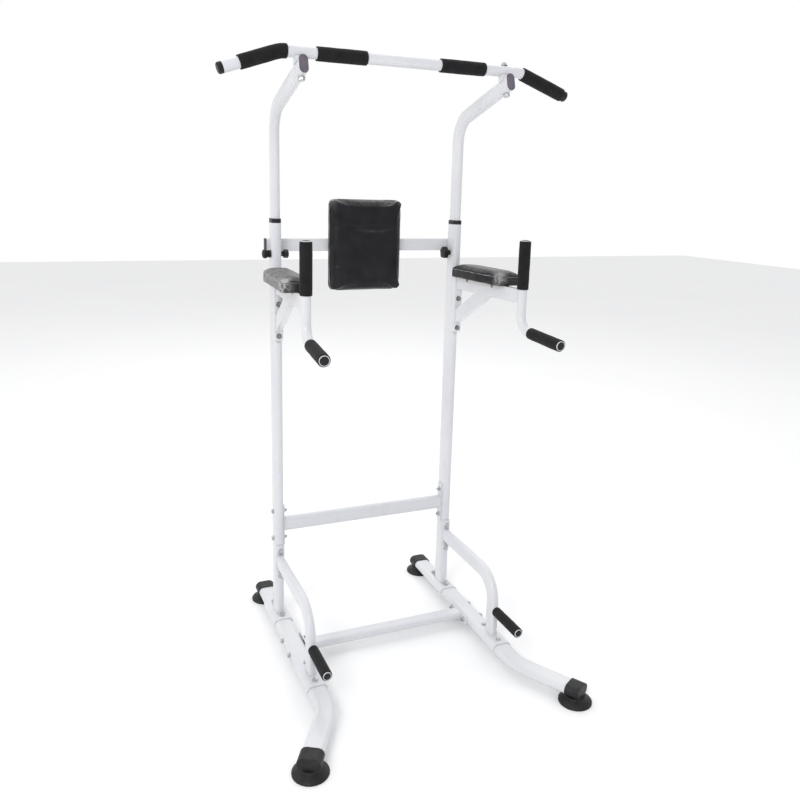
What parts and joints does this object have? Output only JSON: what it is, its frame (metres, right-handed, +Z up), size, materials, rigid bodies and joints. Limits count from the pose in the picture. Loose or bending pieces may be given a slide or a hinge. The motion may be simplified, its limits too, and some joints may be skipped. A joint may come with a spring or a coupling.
{
  "type": "power tower",
  "caption": "Free-standing power tower: oval-tube frame with a pull-up bar on a height-adjustable mast, padded dip arms, backrest and push-up grips.",
  "frame": {"origin": "on the floor, in the middle of the whole object's bounding box", "axes": "+Z up, -Y towards the user's front side where the bar and dip handles reach, +X to the right of someone looking at that front"},
  "size_m": [1.0606, 1.012, 1.8535],
  "materials": {
    "white_steel": "glossy white powder coat",
    "foam": "matt black closed-cell foam",
    "vinyl": "black vinyl under a clear film",
    "plywood": "raw plywood",
    "rubber": "matt black moulded rubber",
    "plastic": "black moulded plastic",
    "smoke_plastic": "dark purple-grey moulded plastic",
    "zinc_steel": "bright zinc plate"
  },
  "bodies": {
    "frame": {"left_base_rail": "white_steel", "front_left_foot": "rubber", "rear_left_foot": "rubber", "left_upright": "white_steel", "left_collar": "plastic", "left_brace": "white_steel", "left_push_up_grip": "foam", "left_push_up_plug": "plastic", "left_dip_arm": "white_steel", "left_handle_tube": "white_steel", "left_upright_grip": "foam", "left_upright_plug": "plastic", "left_dip_grip": "foam", "left_dip_plug": "plastic", "left_arm_board": "plywood", "left_arm_pad": "vinyl", "left_beam_plug": "plastic", "right_base_rail": "white_steel", "front_right_foot": "rubber", "rear_right_foot": "rubber", "right_upright": "white_steel", "right_collar": "plastic", "right_brace": "white_steel", "right_push_up_grip": "foam", "right_push_up_plug": "plastic", "right_dip_arm": "white_steel", "right_handle_tube": "white_steel", "right_upright_grip": "foam", "right_upright_plug": "plastic", "right_dip_grip": "foam", "right_dip_plug": "plastic", "right_arm_board": "plywood", "right_arm_pad": "vinyl", "right_beam_plug": "plastic", "left_pin_housing": "plastic", "base_cross_beam": "white_steel", "lower_cross_beam": "white_steel", "backrest_beam": "white_steel", "backrest_bracket": "white_steel", "backrest_board": "plywood", "backrest_pad": "vinyl"},
    "mast": {"pull_up_bar": "white_steel", "left_gooseneck": "white_steel", "left_gooseneck_cap": "smoke_plastic", "left_outer_bar_grip": "foam", "left_inner_bar_grip": "foam", "left_bar_plug": "plastic", "left_bar_bolt": "zinc_steel", "right_gooseneck": "white_steel", "right_gooseneck_cap": "smoke_plastic", "right_outer_bar_grip": "foam", "right_inner_bar_grip": "foam", "right_bar_plug": "plastic", "right_bar_bolt": "zinc_steel"},
    "left_pin": {"left_pull_pin": "plastic"},
    "left_knob": {"left_clamp_knob": "plastic"},
    "right_knob": {"right_clamp_knob": "plastic"}
  },
  "joints": [
    {"name": "mast_height", "type": "slide", "parent": "frame", "child": "mast", "axis": [0, 0, 1], "range_m": [0, 0.3]},
    {"name": "left_pin_pull", "type": "slide", "parent": "frame", "child": "left_pin", "axis": [-1, 0, 0], "range_m": [0, 0.01], "stiffness_N_per_m": 900, "springref_m": -0.005},
    {"name": "left_knob_turn", "type": "hinge", "parent": "frame", "child": "left_knob", "pos_m": [-0.279, 0.266, 1.275], "axis": [1, 0, 0], "range_deg": [0, 360]},
    {"name": "right_knob_turn", "type": "hinge", "parent": "frame", "child": "right_knob", "pos_m": [0.279, 0.266, 1.275], "axis": [-1, 0, 0], "range_deg": [0, 360]}
  ]
}
